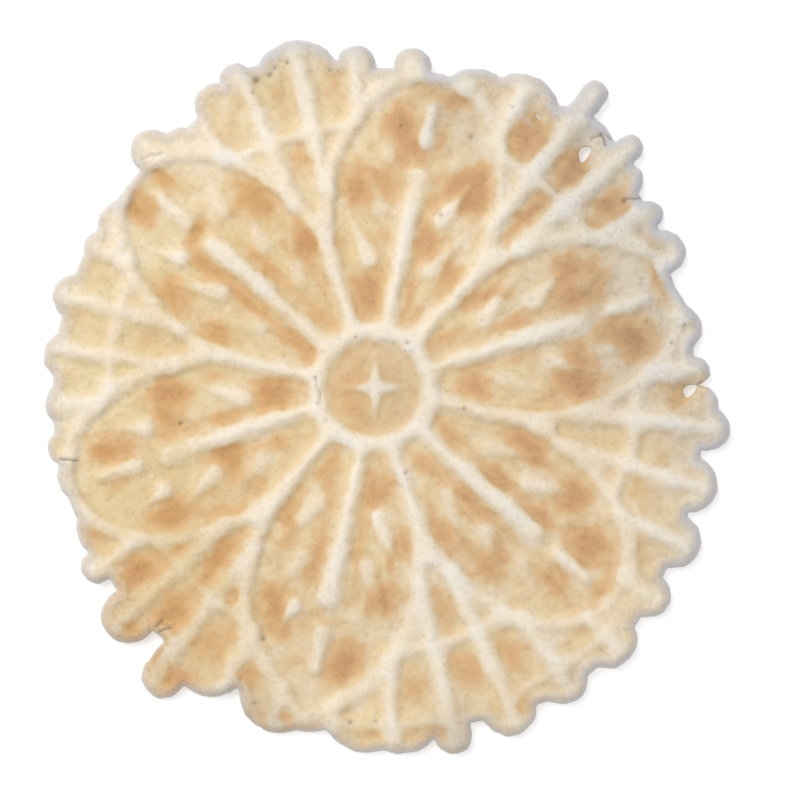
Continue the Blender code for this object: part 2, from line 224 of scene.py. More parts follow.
# Toasted patches of the ring, the lattice and the rim: (angle, distance, half width, half length,
# how brown)
LATTICE_TOAST = (
    (185, 4, 2.2, 2.4, 0.28), (235, 5.2, 2.6, 2, 0.3), (140, 4.6, 2, 1.8, 0.2), (219, 64.5, 3, 3, 0.35),
    (236, 65.5, 3.4, 3, 0.4), (249, 64, 3.4, 2.6, 0.4), (258, 64.5, 3.4, 2.4, 0.35),
    (276, 63.5, 4, 2.4, 0.35), (58.3, 53.3, 3, 4.6, 0.85), (48.1, 53, 3, 4.8, 0.9),
    (37.3, 53.8, 3.2, 5, 0.81), (48.1, 41.5, 2, 5, 0.85), (66, 58, 3, 3, 0.21), (28, 57.5, 2.2, 2, 0.27),
    (-1.2, 54.5, 2.8, 4, 0.51), (-11.9, 52.8, 3.4, 4, 0.36), (-21, 51.5, 3.4, 4, 0.39),
    (-11.9, 43, 2, 5.2, 0.27), (-31, 56, 3, 4, 0.36), (-50, 58, 3, 4, 0.36), (-62, 54.5, 3.2, 4.6, 0.56),
    (-71.9, 53.5, 3.2, 4.6, 0.6), (-82, 54.5, 3.4, 4.4, 0.49), (-71.9, 42, 2, 4.6, 0.52),
    (-78.5, 63.4, 3.4, 2, 0.64), (-90, 62.6, 3.4, 2.2, 0.52), (-66, 63.6, 3.4, 2, 0.52),
    (-99, 61.2, 3.6, 1.6, 0.45), (-42, 61.5, 4, 2, 0.3), (238.3, 54, 3.8, 4.8, 0.62),
    (228.1, 54.2, 3.6, 5, 0.95), (218, 53.5, 3.6, 5.2, 0.92), (228.1, 41.5, 2.4, 5.4, 0.9),
    (236.5, 63.3, 3.2, 2.4, 0.9), (231.5, 62.3, 2.8, 2.2, 0.85), (224.8, 62, 3, 2.4, 0.75),
    (208, 56.5, 3.2, 3.2, 0.55), (246.5, 56.6, 2.6, 3.4, 0.7), (254.5, 62.6, 3.6, 1.8, 0.75),
    (236.4, 45.2, 1.8, 2.4, 0.7), (220, 45, 1.8, 2.8, 0.7), (202, 57, 3, 2, 0.24),
    (178, 55.5, 3.2, 4.2, 0.25), (166, 55, 3.2, 4.2, 0.25), (156.5, 53, 3, 3.6, 0.28),
    (168.1, 41.5, 2.2, 5.6, 0.3), (188, 57, 2.6, 3, 0.19), (120, 53.5, 3.4, 5, 0.3),
    (107, 55, 3.4, 5.2, 0.36), (97, 55, 2.6, 5, 0.41), (108.1, 43, 2.4, 5.4, 0.44), (20, 60, 3.4, 2, 0.18),
    (89, 59.5, 3, 2.4, 0.3),
)

# Where the batter stayed pale: (angle, distance, radius, how pale)
PALE_DRIFTS = (
    (108, 40, 9, 0.8), (128, 56, 8, 0.9), (112, 50, 6, 0.5), (150, 56, 8, 0.8), (168, 33, 7, 0.8),
    (160, 47, 7, 0.7), (178, 50, 7, 0.8), (172, 60, 8, 0.7), (190, 55, 7, 0.8), (204, 52, 7, 0.6),
    (90, 49, 5, 0.6), (86, 57, 5, 0.4), (140, 47, 6, 0.7), (48, 34, 7, 0.7), (60, 45, 6, 0.5),
    (35, 45, 6, 0.5), (18, 54, 6, 0.5), (7.3, 42.8, 5, 0.9), (22, 29, 6, 0.6), (10, 25, 5, 0.5),
    (82, 30, 6, 0.5), (8, 36, 5, 0.5), (-12, 33, 6, 0.7), (-5, 48, 6, 0.5), (228, 33, 6, 0.6),
    (246, 47, 6, 0.4), (258, 56, 6, 0.6), (266, 46, 5, 0.3), (72, 40, 4, 0.3), (208, 44, 5, 0.3),
    (-72, 33, 6, 0.5), (-40, 50, 7, 0.4),
)

# Greyer patches, mostly along the rim and on the right, partly greyer batter and partly painted shade on the
# side away from the key light: (angle, distance, radius, how grey)
GREY_AND_SHADE_DRIFTS = (
    (358, 42, 7, 0.35), (351, 56, 6, 0.45), (75, 57, 8, 0.3), (15, 62, 8, 0.35), (45, 64, 7, 0.35),
    (222, 66, 8, 0.35), (250, 66, 8, 0.45), (283, 66, 8, 0.55), (30, 60, 13, 1), (52, 63, 11, 0.9),
    (12, 61, 10, 0.7), (-6, 64, 10, 0.8), (76, 61, 8, 0.5), (92, 63, 6, 0.5), (112, 64, 6, 0.5),
    (250, 66, 6, 0.5), (-25, 66, 12, 0.6), (-55, 68, 10, 0.5), (104, 64, 8, 0.6), (182, 61, 4, 0.35),
    (20, 46, 12, 0.6), (45, 50, 10, 0.7), (6, 50, 9, 0.6), (74, 50, 8, 0.4), (228, 68, 6, 0.6),
    (245, 68, 7, 0.7), (262, 69, 6, 0.7), (285, 70, 6, 0.5), (18, 33, 11, 0.25), (-40, 34, 14, 0.25),
    (-70, 42, 12, 0.2), (-102, 42, 12, 0.2), (0, 4, 7, 0.5),
)

# Where the batter baked deeper in colour: (angle, distance, radius, how deep)
DEEP_DRIFTS = (
    (222, 66, 7, 0.4), (243, 66, 7, 0.4), (256, 66, 6, 0.4), (280, 65, 8, 0.35), (214, 44, 10, 0.8),
    (228, 46, 9, 0.8), (225, 55, 9, 0.9), (232, 63, 8, 1), (225, 67, 6, 1), (250, 65, 8, 0.9),
    (262, 67, 7, 0.8), (285, 67, 8, 0.8), (245, 50, 8, 0.3), (135, 22, 8, 0.5), (140, 32, 7, 0.4),
    (165, 40, 8, 0.6), (155, 28, 7, 0.5), (195, 40, 8, 0.4), (205, 30, 8, 0.3), (345, 20, 9, 0.6),
    (350, 38, 8, 0.6), (110, 30, 7, 0.4), (300, 66, 8, 0.5), (320, 60, 9, 0.3), (0, 0, 24, 0.22),
)

# Where the batter baked yellow: (angle, distance, radius, how yellow)
YELLOW_DRIFTS = (
    (180, 52, 18, 0.9), (200, 50, 14, 0.9), (152, 50, 12, 0.7), (165, 30, 12, 0.6), (215, 42, 12, 0.7),
    (135, 36, 12, 0.6), (240, 52, 10, 0.6), (110, 52, 9, 0.6), (95, 25, 9, 0.5), (330, 30, 12, 0.3),
    (275, 30, 12, 0.3),
)

DRIFTS = {"drift": PALE_DRIFTS, "grey": GREY_AND_SHADE_DRIFTS, "deep": DEEP_DRIFTS, "yellow": YELLOW_DRIFTS}
# What the wafer's points remember for its finish
NOTES = ("crest", "pale", "toast", "crease", "pock", "rim", *DRIFTS)


def on_circle(radius, degrees):
    """The point at `radius` from the middle in the direction `degrees`."""
    angle = math.radians(degrees)
    return Vector((radius * math.cos(angle), radius * math.sin(angle)))


def turn_between(degrees, other):
    """Signed degrees from `other` to `degrees`, between -180 and 180."""
    return (degrees - other + 180.0) % 360.0 - 180.0


def off_spine(degrees):
    """Signed degrees from the nearest petal's spine."""
    return (degrees - FIRST_PETAL + PETAL_PITCH / 2) % PETAL_PITCH - PETAL_PITCH / 2


def hump(value, width):
    """1 at nought, and a soft fall to 0 either side over about `width`."""
    return np.exp(-((value / width) ** 2))


def eased(value, low, high):
    """0 below `low`, 1 above `high`, and a smooth rise between them."""
    share = np.clip((value - low) / (high - low), 0.0, 1.0)
    return share * share * (3.0 - 2.0 * share)


def bank(away, crest_drop, foot):
    """1 on top of a rib and 0 at its foot, rounded at both."""
    share = np.clip((away + crest_drop) / (crest_drop + foot), 0.0, 1.0)
    return 0.5 + 0.5 * np.cos(math.pi * share)


def joined(first, second):
    """Two shares laid over each other: 1 where either is 1, 0 where both are 0."""
    return 1.0 - (1.0 - first) * (1.0 - second)


def grain(points, size, seed):
    """Smooth unevenness between about -1 and 1 at each point, with bumps of `size`."""
    shift = Vector((seed * 7.31, seed * 3.17, seed * 1.93))
    return np.array([noise.noise(Vector((x / size, y / size, 0.0)) + shift) for x, y in points])


def waver(points, size, seed):
    """Smooth unevenness at each point in x and in y."""
    return np.column_stack([grain(points, size, seed), grain(points, size, seed + 1)])


def strip(x, y, start, end, half_start, half_end):
    """Distance from the edge of a straight strip whose half width changes from start to end."""
    run_x, run_y = end[0] - start[0], end[1] - start[1]
    share = ((x - start[0]) * run_x + (y - start[1]) * run_y) / (run_x ** 2 + run_y ** 2)
    share = np.clip(share, 0.0, 1.0)
    away = np.hypot(x - start[0] - share * run_x, y - start[1] - share * run_y)
    return away - half_start - share * (half_end - half_start)


def laid_along(points, middle, degrees):
    """How far each point lies from `middle` along the direction `degrees`, and to its left."""
    c, s = math.cos(math.radians(degrees)), math.sin(math.radians(degrees))
    x, y = points[:, 0] - middle[0], points[:, 1] - middle[1]
    return x * c + y * s, y * c - x * s


def edge_radius(degrees):
    """How far the batter ran out in each of an array of directions."""
    reach = SPREAD + SPREAD_DRIFT * np.cos(np.radians(degrees - SPREAD_DRIFT_ANGLE))
    for angle, height, width in SWELLS:
        reach = reach + height * hump(turn_between(degrees, angle), width)
    for angle, tip, radius in LOBES:
        tip, radius = tip * MM, radius * MM
        turn = np.radians(turn_between(degrees, angle))
        middle = tip - radius
        room = radius ** 2 - (middle * np.sin(turn)) ** 2
        near = (np.abs(turn) < math.pi / 4) & (room > 0.0)
        lobe = middle * np.cos(turn) + np.sqrt(np.maximum(room, 0.0))
        reach = np.where(near, np.maximum(reach, lobe), reach)
    return reach


def petal_edge(off_axis):
    """Distance from the centre to a petal's outline, `off_axis` degrees from its spine."""
    across = math.sin(math.radians(off_axis)) / PETAL_HALF_WIDTH
    along = math.cos(math.radians(off_axis)) / PETAL_HALF_LENGTH
    middle = PETAL_MIDDLE / PETAL_HALF_LENGTH
    a = across ** 2 + along ** 2
    b = along * middle
    return (b + math.sqrt(max(b * b - a * (middle ** 2 - 1.0), 0.0))) / a


def spaced(path, spacing):
    """Points at even spacing round a closed path."""
    closed = np.vstack([path, path[:1]])
    steps = np.hypot(*np.diff(closed, axis=0).T)
    run = np.concatenate([[0.0], np.cumsum(steps)])
    count = int(round(run[-1] / spacing))
    wanted = np.arange(count) * run[-1] / count
    return np.column_stack([np.interp(wanted, run, closed[:, axis]) for axis in (0, 1)])


def softened(path, passes):
    """A closed path with its creases eased."""
    for _ in range(passes):
        path = (np.roll(path, 1, 0) + 2.0 * path + np.roll(path, -1, 0)) / 4.0
    return path


def inset(path, depth):
    """A closed counterclockwise path moved inwards."""
    along = np.roll(path, -1, 0) - np.roll(path, 1, 0)
    along /= np.hypot(*along.T)[:, None]
    return path + depth * np.column_stack([-along[:, 1], along[:, 0]])


def outline_path(ragged):
    """Counterclockwise edge of the wafer, wavering in and out by `ragged`."""
    degrees = np.arange(0.0, 360.0, 0.05)
    turns = np.radians(degrees)
    path = edge_radius(degrees)[:, None] * np.column_stack([np.cos(turns), np.sin(turns)])
    path = softened(spaced(path, EDGE_SPACING / 2), EDGE_SOFTENING)
    uneven = grain(path, 1.7 * MM, 3) + 0.5 * grain(path, 0.9 * MM, 4)
    return spaced(inset(path, ragged * uneven[:, None]), EDGE_SPACING)


def hole_path(hole):
    """Clockwise edge of a pinhole, so that its inside counts as outside the wafer."""
    (x, y), half_length, half_width, turn = hole
    steps = np.linspace(0.0, -2 * math.pi, HOLE_STEPS, endpoint=False)
    wobble = 1.0 + 0.12 * np.sin(3 * steps + turn)
    along = half_length * np.cos(steps) * wobble
    across = half_width * np.sin(steps) * wobble
    c, s = math.cos(math.radians(turn)), math.sin(math.radians(turn))
    return np.column_stack([x + along * c - across * s, y + along * s + across * c])


def inside(points, path):
    """Which points lie inside a closed path."""
    x, y = points.T
    found = np.zeros(len(points), bool)
    for (x0, y0), (x1, y1) in zip(path, np.roll(path, -1, 0)):
        if y0 != y1:
            found ^= ((y0 > y) != (y1 > y)) & (x < (x1 - x0) * (y - y0) / (y1 - y0) + x0)
    return found


def petal_place(points):
    """Across and along the nearest petal, and that petal's number."""
    x, y = points.T
    number = np.round((np.degrees(np.arctan2(y, x)) - FIRST_PETAL) / PETAL_PITCH).astype(int) % PETALS
    turn = np.radians(FIRST_PETAL + PETAL_PITCH * number)
    return x * np.sin(turn) - y * np.cos(turn), x * np.cos(turn) + y * np.sin(turn), number


def petal_oval(across, along):
    """Shares of a petal's half width and half length, and the distance outside its outline."""
    u = across / PETAL_HALF_WIDTH
    v = (along - PETAL_MIDDLE) / PETAL_HALF_LENGTH
    level = np.maximum(np.hypot(u, v), 0.001)
    slope = np.hypot(u / PETAL_HALF_WIDTH, v / PETAL_HALF_LENGTH) / level
    return u, v, (level - 1.0) / slope


def petal_ribs(points):
    """(distance from the edge, fullness) of the ring and of each kind of rib in the petals."""
    across, along, number = petal_place(points)
    side = np.abs(across)
    _, v, outside = petal_oval(across, along)
    outline = outside - 0.05 * MM
    outline = np.where(outline < 0.0, -1.1 * outline, outline)
    sunk = 2.5 * MM * eased(-v, 0.35, 0.65)
    turn = math.radians(PETAL_PITCH / 2)
    wall = [(reach * math.sin(turn), reach * math.cos(turn)) for reach in (RING_RADIUS, WALL_END)]
    spine = [(0.0, reach) for reach in SPINE]
    dash = (0.0, DASH[0]), (0.0, DASH[1] - 1.0 * MM)
    fade = np.array(SPINE_FADE)[-number % PETALS] * eased(along, SPINE[1] - 9 * MM, SPINE[1] + 1 * MM)
    return {
        "ring": (np.abs(np.hypot(*points.T) - RING_RADIUS + 0.25 * MM) - RING_HALF_WIDTH, RING_FILL),
        "outline": (outline - OUTLINE_HALF_WIDTH + sunk, OUTLINE_FILL),
        "wall": (strip(side, along, *wall, *WALL_HALF_WIDTHS), WALL_FILL),
        "spine": (strip(side, along, *spine, *SPINE_HALF_WIDTHS), SPINE_FILL * (1.0 - fade)),
        "dash": (strip(side, along, *dash, *DASH_HALF_WIDTHS), DASH_FILL),
    }


def outline_groove(points):
    """The shallow groove inside each petal's outline, deepest where the batter ran away from it."""
    across, along, number = petal_place(points)
    u, v, outside = petal_oval(across, along)
    facing = np.arctan2(v, u) + np.radians(FIRST_PETAL + PETAL_PITCH * number) - math.pi / 2
    lean = eased(np.cos(facing - math.radians(150.0)), -0.1, 0.8)
    lean *= 0.75 + 0.6 * grain(points, 5 * MM, 16)
    middle = 1.9 * MM + 0.5 * MM * grain(points, 7 * MM, 15)
    groove = bank(np.abs(outside + middle) - 0.1 * MM, 0.1 * MM, 0.8 * MM)
    return groove * lean * eased(v, -0.55, -0.1)


def petal_drops(points):
    """(rise, paleness) of the drops: each is round and pale at its head and thins out to its tail."""
    across, along, number = petal_place(points)
    fill = np.array(DROP_FILL)[-number % PETALS]
    rise = np.zeros(len(points))
    pale = np.zeros(len(points))
    for side, first in ((-1.0, 0), (1.0, len(DROPS))):
        for count, (head, tail) in enumerate(DROPS):
            full = fill[:, first + count]
            away = strip(side * across, along, head, tail, *DROP_HALF_WIDTHS)
            from_head = np.hypot(side * across - head[0], along - head[1])
            reach = math.dist(head, tail)
            fading = eased(from_head, 0.2 * reach, reach)
            slim = MM * (1.0 - 0.45 * fading)
            drop = bank(away, 1.0 * slim, 1.7 * slim) * (0.10 + 0.56 * full) * (1.0 - 0.6 * fading)
            rise = np.maximum(rise, drop)
            streak = bank(away, 0.5 * slim, 1.4 * slim) * (0.25 + 0.65 * full) * (1.0 - 0.5 * fading)
            pale = np.maximum(pale, np.maximum(hump(from_head, 2.3 * MM) * full, streak))
    return rise, pale


def lattice_ribs(points):
    """(distance from the edge, fullness) of the spokes and of the two hoops."""
    x, y = points.T
    reach = np.hypot(x, y)
    degrees = np.degrees(np.arctan2(y, x))
    turns = FIRST_PETAL + SPOKE_PITCH * (np.arange(SPOKES) + 0.5)
    starts = np.array([petal_edge(off_axis) for off_axis in off_spine(turns)])
    ends = edge_radius(turns) - LIP
    number = np.round((degrees - turns[0]) / SPOKE_PITCH).astype(int) % SPOKES
    turn = np.radians(turn_between(degrees, turns[number]))
    along = reach * np.cos(turn)
    past = np.maximum(np.maximum(starts[number] - along, along - ends[number]), 0.0)
    spokes = np.hypot(reach * np.sin(turn), past) - SPOKE_HALF_WIDTH

    inner, outer = HOOP_RADII
    from_line = PETAL_PITCH / 2 - np.abs(off_spine(degrees))
    past = np.radians(np.maximum(np.abs(from_line) - HOOP_HALF_SPAN, 0.0)) * inner
    inner_hoop = np.hypot(reach - inner + 0.9 * MM, past) - HOOP_HALF_WIDTHS[0]

    gap_ends = np.column_stack([turns, turns + SPOKE_PITCH / 2, turns + SPOKE_PITCH])
    reached = (edge_radius(gap_ends) - LIP > outer).all(axis=1)
    gap = np.floor((degrees - turns[0]) / SPOKE_PITCH).astype(int) % SPOKES
    outer_hoop = np.where(reached[gap], np.abs(reach - outer) - HOOP_HALF_WIDTHS[1], 9 * MM)
    return [(spokes, SPOKE_FILL), (inner_hoop, INNER_HOOP_FILL), (outer_hoop, OUTER_HOOP_FILL)]


def star_rise(points):
    """The small four-pointed star in the ring, from 0 to 1, its arms softly joined."""
    x, y = np.abs(points.T)
    softness = 0.2 * MM
    total = 0.0
    for tip in ((STAR_REACH * 0.93, 0.0), (0.0, STAR_REACH)):
        away = strip(x, y, (0.0, 0.0), tip, *STAR_HALF_WIDTHS)
        total += np.exp(-np.clip(away, -3 * MM, 20 * MM) / softness)
    star = bank(-softness * np.log(total), 0.6 * MM, 1.0 * MM)
    return star * (1.0 - 0.6 * eased(np.hypot(x, y), 2.5 * MM, STAR_REACH))


def patch(points, middle, turn, half_width, half_length):
    """A soft-edged oval, 1 in its middle, its length pointing to `turn` degrees."""
    along, across = laid_along(points, middle, turn)
    return np.exp(-((along / half_length) ** 2 + (across / half_width) ** 2))


def toasting(points):
    """How brown the batter is at each point, from 0 to 1, before the ribs' pale tops."""
    place = points.copy()
    for size, throw, seed in ((5 * MM, 1.2 * MM, 11), (2.2 * MM, 0.9 * MM, 13), (1.1 * MM, 0.45 * MM, 17)):
        place += throw * waver(points, size, seed)
    reach = np.hypot(*place.T)
    brown = DISC_TOAST * (1.0 - eased(reach, RING_RADIUS - 3.2 * MM, RING_RADIUS - 0.6 * MM))
    ribs = petal_ribs(points)
    beside = np.minimum(ribs["wall"][0], ribs["spine"][0])
    edging = hump(beside - 2.0 * MM, 1.1 * MM) * (1.0 - eased(reach, 36 * MM, 46 * MM))
    brown = np.maximum(brown, edging * (0.20 + 0.28 * grain(points, 5 * MM, 19)))
    for number, patches in enumerate(PETAL_TOAST):
        turn = FIRST_PETAL - PETAL_PITCH * number
        for across, along, half_width, half_length, strength in patches:
            middle = Matrix.Rotation(math.radians(turn - 90.0), 2) @ Vector((across, along)) * MM
            oval = patch(place, middle, turn, half_width * MM, half_length * MM)
            brown = joined(brown, strength * oval)
    for angle, distance, half_width, half_length, strength in LATTICE_TOAST:
        middle = on_circle(distance * MM, angle)
        oval = patch(place, middle, angle, 1.05 * half_width * MM, 1.05 * half_length * MM)
        brown = joined(brown, strength * oval)
    return brown


def drifted(points, drifts):
    """How strongly some soft round drifts show at each point, from 0 to 1."""
    clear = np.ones(len(points))
    for angle, distance, radius, strength in drifts:
        away = np.hypot(*(points - np.array(on_circle(distance * MM, angle))).T)
        clear *= 1.0 - strength * hump(away, radius * MM)
    return 1.0 - clear


def pulled(points):
    """Where each point lay in the mould's pattern before the batter pulled it."""
    place = points.copy()
    for x, y, radius, pull_x, pull_y in PULLS:
        away = np.hypot(*(points - np.array((x, y)) * MM).T)
        place -= hump(away, radius * MM)[:, None] * np.array((pull_x, pull_y)) * MM
    return place


def wander(points):
    """Sideways drift that takes the cracks off a straight line."""
    return 0.45 * MM * waver(points, 1.6 * MM, 51)


def hollows(points):
    """Depth share of the burst bubbles and hair cracks at each point, and how dark their painted shade is."""
    depth = np.zeros(len(points))
    dark = np.zeros(len(points))
    for x, y, radius, strength in POCKS:
        away = np.hypot(points[:, 0] - x * MM, points[:, 1] - y * MM) / (radius * MM)
        dip = np.exp(-(away ** 2) * 1.6)
        depth = np.maximum(depth, dip * min(radius, 0.6) / 0.6)
        dark = np.maximum(dark, dip * strength)
    place = points + wander(points)
    for x0, y0, x1, y1, strength in CRACKS:
        start, end = (x0 * MM, y0 * MM), (x1 * MM, y1 * MM)
        away = strip(*place.T, start, end, 0.0, 0.0) / CRACK_HALF_WIDTH
        dip = np.exp(-(away ** 2) * 1.3)
        depth = np.maximum(depth, dip * 0.8)
        dark = np.maximum(dark, dip * strength)
    return depth, dark


def search_tree(points):
    """A tree that finds the nearest of some points."""
    tree = kdtree.KDTree(len(points))
    for index, (x, y) in enumerate(points):
        tree.insert((x, y, 0.0), index)
    tree.balance()
    return tree


def nearest(tree, points):
    """Distance from each point to the nearest one in a tree."""
    return np.array([tree.find((x, y, 0.0))[2] for x, y in points])


class Sheet:
    """Flat layout of one face: the wafer's edge, rows of points that follow it, and points between."""

    def __init__(self, shape):
        self.loops = [outline_path(shape.ragged_edge)] + [hole_path(hole) for hole in PINHOLES]
        self.rim = np.vstack(self.loops)
        self.tree = self.edge_tree()
        self.rows = np.vstack([self.row(depth) for depth in ROW_DEPTHS])
        self.fine = self.fine_points()

    def edge_tree(self):
        """A tree that finds how far a point lies from the wafer's edge."""
        samples = []
        for loop in self.loops:
            steps = np.roll(loop, -1, 0) - loop
            samples += [loop + steps * share for share in (0.0, 0.25, 0.5, 0.75)]
        return search_tree(np.vstack(samples))

    def row(self, depth):
        """Points a little way inside the edge, none crowded."""
        kept = []
        for loop in self.loops:
            moved = inset(loop, depth)
            moved = moved[nearest(self.tree, moved) > 0.9 * depth]
            last = None
            for point in moved:
                if last is None or np.hypot(*(point - last)) > ROW_CROWDING:
                    kept.append(point)
                    last = point
        kept = np.array(kept)
        return kept[self.held(kept)]

    def held(self, points):
        """Which points are on the wafer."""
        found = inside(points, self.loops[0])
        for hole in self.loops[1:]:
            found &= ~inside(points, hole)
        return found

    def fine_points(self):
        """Extra points that carry the small bubbles and cracks."""
        extra = []
        for x, y, radius, _ in POCKS:
            middle = np.array((x, y)) * MM
            extra.append(middle)
            for share, count in ((0.5, 6), (1.0, 10)):
                for step in range(count):
                    extra.append(middle + on_circle(radius * MM * share, 360.0 * step / count))
        for x0, y0, x1, y1, _ in CRACKS:
            start, end = np.array((x0, y0)) * MM, np.array((x1, y1)) * MM
            run = math.dist(start, end)
            across = np.array((start[1] - end[1], end[0] - start[0])) / run * CRACK_ROW
            line = start + np.linspace(0.0, 1.0, int(run / (0.25 * MM)) + 2)[:, None] * (end - start)
            line -= wander(line)
            extra += [*line, *(line + across), *(line - across)]
        extra = np.array(extra)
        return extra[self.held(extra) & (nearest(self.tree, extra) > 0.25 * MM)]

    def grid(self, spacing):
        """Evenly spread points clear of the edge rows and of the fine points."""
        columns = np.arange(-GRID_REACH, GRID_REACH, spacing)
        rows = np.arange(-GRID_REACH, GRID_REACH, spacing * math.sqrt(3) / 2)
        x, y = np.meshgrid(columns, rows)
        x = x + (np.arange(len(rows)) % 2)[:, None] * spacing / 2
        points = np.column_stack([x.ravel(), y.ravel()])
        points += 0.04 * spacing * np.column_stack([np.sin(points[:, 1] * 9e4), np.sin(points[:, 0] * 7e4)])
        points = points[np.hypot(*points.T) < edge_radius(np.degrees(np.arctan2(points[:, 1], points[:, 0])))]
        points = points[nearest(self.tree, points) > GRID_FROM_EDGE]
        points = points[self.held(points)]
        return points[nearest(search_tree(self.fine), points) > GRID_FROM_FINE]

    def triangles(self, spacing):
        """(points, triangles) of a face; the first points are those of the rim."""
        points = np.vstack([self.rim, self.rows, self.fine, self.grid(spacing)])
        edges, start = [], 0
        for loop in self.loops:
            count = len(loop)
            edges += [(start + step, start + (step + 1) % count) for step in range(count)]
            start += count
        border = {frozenset(edge) for edge in edges}
        for _ in range(6):
            laid = geometry.delaunay_2d_cdt([Vector(point) for point in points], edges, [], 0, 1e-9)
            if len(laid[0]) != len(points):
                raise RuntimeError("the edge of the wafer crosses itself")
            faces = np.array(laid[2])
            faces = faces[self.held(points[faces].mean(axis=1))]
            sides = np.sort(np.vstack([faces[:, pair] for pair in ([0, 1], [1, 2], [2, 0])]), axis=1)
            sides = np.unique(sides[(sides < len(self.rim)).all(axis=1)], axis=0)
            chords = [side for side in sides if frozenset(side.tolist()) not in border]
            if not chords:
                return points, faces
            points = np.vstack([points, points[np.array(chords)].mean(axis=1)])
        raise RuntimeError("two stretches of the wafer's edge lie too close together")


def from_pinhole(points):
    """Distance from the edge of the nearest pinhole, more or less."""
    found = np.full(len(points), 1.0)
    for middle, half_length, half_width, turn in PINHOLES:
        along, across = laid_along(points, middle, turn)
        level = np.hypot(along / half_length, across / half_width)
        found = np.minimum(found, (level - 1.0) * (half_length + half_width) / 2)
    return np.maximum(found, 0.0)


def face_relief(points, from_edge, shape, seed):
    """(half thickness, rib share, paleness, groove share) of a face at each point."""
    place = pulled(points) + 0.28 * MM * waver(points, 8 * MM, seed)
    place += 0.12 * MM * waver(points, 2.6 * MM, seed + 6)
    swollen = 0.55 * MM * grain(points, 6 * MM, seed + 8) + 0.40 * MM * grain(points, 2.2 * MM, seed + 9)
    uneven_fill = 0.12 * grain(points, 8 * MM, seed + 2)
    drop_rise, pale = petal_drops(place)
    groove = outline_groove(place)
    star = star_rise(points - np.array((0.4 * MM, 0.0)))
    sunk = (1.0 - drop_rise) * (1.0 - 0.5 * star)
    slack = 1.0 - 0.3 * drifted(place, DEEP_DRIFTS)
    lattice = [(away, fullness * slack) for away, fullness in lattice_ribs(place)]
    for away, fullness in [*petal_ribs(place).values(), *lattice]:
        filled = np.clip(fullness * (1.0 + uneven_fill), 0.0, 1.0)
        sunk *= 1.0 - filled * bank(away + swollen, shape.crest_rounding, shape.rib_foot)
    across, along, _ = petal_place(place)
    spine = strip(np.abs(across), along, (0.0, SPINE[0]), (0.0, SPINE[1]), 0.3 * MM, 1.2 * MM)
    spine = bank(spine, 0.3 * MM, 1.2 * MM) * eased(along, *SPINE)
    pale = np.maximum(pale, spine * (0.7 + 0.5 * grain(points, 4 * MM, seed + 10)))
    pale = np.maximum(pale, star * (0.75 + 0.25 * hump(np.hypot(*points.T), 1.8 * MM)))

    pinhole = from_pinhole(points)
    swell = 0.5 + 0.5 * np.clip(1.6 * grain(points, 6 * MM, seed + 3), -1.0, 1.0)
    bead = bank(np.abs(from_edge - BEAD_FROM_EDGE) - 0.3 * MM, 0.3 * MM, 1.4 * MM) * (0.10 + 0.5 * swell)
    rise = joined(1.0 - sunk, bead * eased(pinhole, 2 * MM, 4 * MM))

    uneven = 0.09 * grain(points, 4.5 * MM, seed + 4) + 0.06 * grain(points, 1.6 * MM, seed + 5)
    height = SHEET / 2 + rise * (OVERALL - SHEET) / 2
    height += uneven * shape.unevenness - shape.groove_depth * groove
    height += 0.10 * MM * grain(points, 1.3 * MM, seed + 11) * hump(from_edge - 1.0 * MM, 1.2 * MM)
    height *= 1.0 - 0.65 * hump(pinhole, 1.8 * MM)
    return height, rise, pale, groove


def rim_lift(points, shape):
    """How far the wafer's middle plane curls up towards its rim."""
    curl = eased(np.hypot(*points.T), *CURL)
    return shape.rim_lift * curl * (0.6 + 0.6 * grain(points, 14 * MM, 40))


def build_wafer(shape):
    """The wafer's two faces, joined along the rim, with its browning stored on the points."""
    sheet = Sheet(shape)
    rim_count = len(sheet.rim)
    spots, faces, values = [], [], {name: [] for name in NOTES}
    start = 0
    for side, spacing, seed in ((1.0, shape.upper_spacing, 20), (-1.0, shape.lower_spacing, 60)):
        points, triangles = sheet.triangles(spacing)
        from_edge = nearest(sheet.tree, points)
        from_edge[:rim_count] = 0.0
        height, rise, pale, groove = face_relief(points, from_edge, shape, seed)
        depth, dark = hollows(points)
        rounding = np.sqrt(1.0 - (1.0 - np.clip(from_edge / shape.edge_round, 0.0, 1.0)) ** 2)
        z = OVERALL / 2 + side * (height - HOLLOW_DEPTH * depth) * rounding + rim_lift(points, shape)
        spot = np.column_stack([points + np.array(CENTRE), np.clip(z, LOW.z, None)])
        rim = (1.0 - np.clip(from_edge / RIM_BAND, 0.0, 1.0)) * eased(from_pinhole(points), 1 * MM, 3 * MM)
        notes = {name: drifted(points, drifts) for name, drifts in DRIFTS.items()}
        # The groove share and the darkness of the bubbles and cracks are also kept to paint shade in them
        notes.update(crest=rise, pale=pale, toast=toasting(points), crease=groove, pock=dark, rim=rim)
        new = slice(None)
        if side < 0:
            # The lower face shares the upper face's rim and looks the other way
            triangles = np.where(triangles < rim_count, triangles, triangles + start - rim_count)[:, ::-1]
            new = slice(rim_count, None)
        start += len(spot)
        faces.append(triangles)
        spots.append(spot[new])
        for name, value in notes.items():
            values[name].append(value[new])

    mesh = bpy.data.meshes.new("baked_wafer")
    mesh.from_pydata(np.vstack(spots).tolist(), [], np.vstack(faces).tolist())
    for name, value in values.items():
        layer = mesh.attributes.new(name, "FLOAT", "POINT")
        layer.data.foreach_set("value", np.concatenate(value).astype(np.float32))
    mesh.shade_smooth()
    mesh.update()
    if mesh.validate(verbose=False):
        raise RuntimeError("the wafer's mesh has faulty faces")
    return mesh


